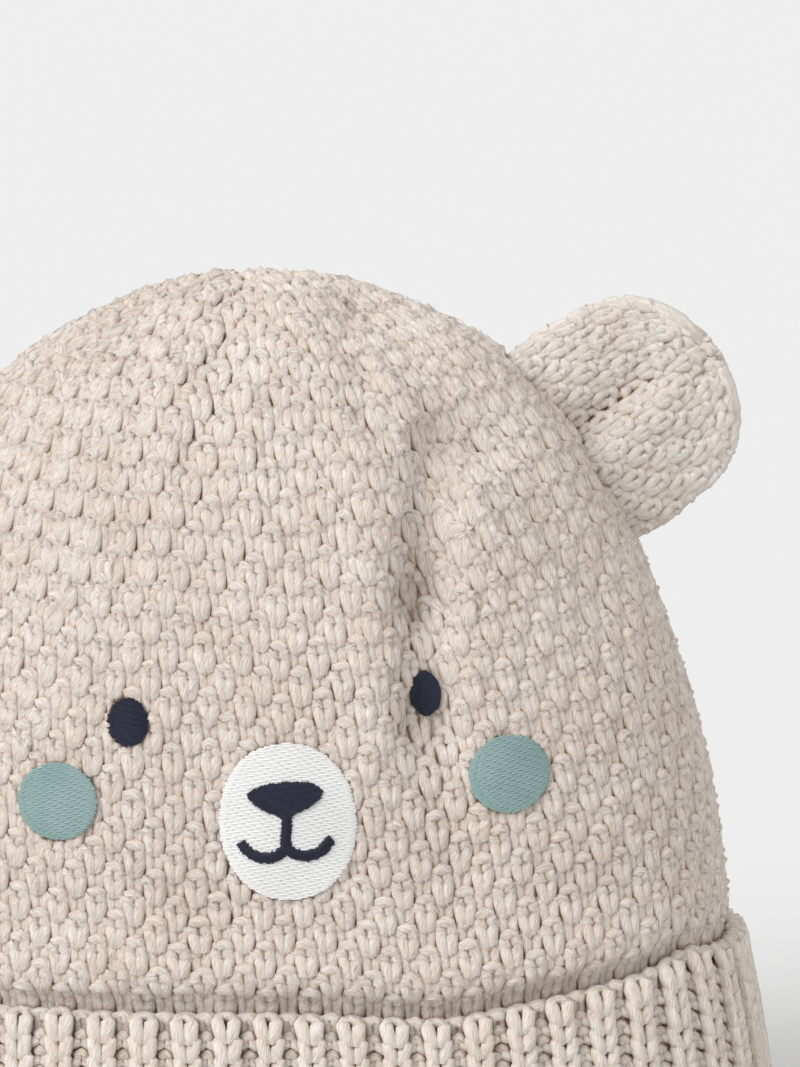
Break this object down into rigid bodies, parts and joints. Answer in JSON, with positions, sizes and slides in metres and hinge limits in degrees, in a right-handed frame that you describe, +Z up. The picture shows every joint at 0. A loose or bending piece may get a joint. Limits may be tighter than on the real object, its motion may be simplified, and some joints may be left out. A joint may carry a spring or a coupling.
{
  "type": "baby hat with ears",
  "caption": "Soft knitted baby hat with a domed crown, a turned-up ribbed cuff, round ears and an embroidered bear face; it stands on its cuff, open below.",
  "frame": {"origin": "on the surface that the hat stands on, under the middle of its bounding box", "axes": "+Z up; the embroidered face looks along -Y; +X is to the right as one looks at the face"},
  "size_m": [0.1946, 0.1174, 0.1831],
  "materials": {
    "moss_knit": "soft matt aran yarn in seed stitch, oatmeal",
    "rib_knit": "soft matt aran yarn in one by one rib, oatmeal",
    "white_thread": "glossy white embroidery thread",
    "navy_thread": "glossy dark navy embroidery thread",
    "green_thread": "glossy grey green embroidery thread"
  },
  "bodies": {
    "root": {"crown": "moss_knit", "cuff": "rib_knit", "ear_left": "moss_knit", "ear_right": "moss_knit", "muzzle": "white_thread", "nose": "navy_thread", "nose_line": "navy_thread", "mouth": "navy_thread", "eye_left": "navy_thread", "eye_right": "navy_thread", "cheek_left": "green_thread", "cheek_right": "green_thread"}
  },
  "joints": []
}
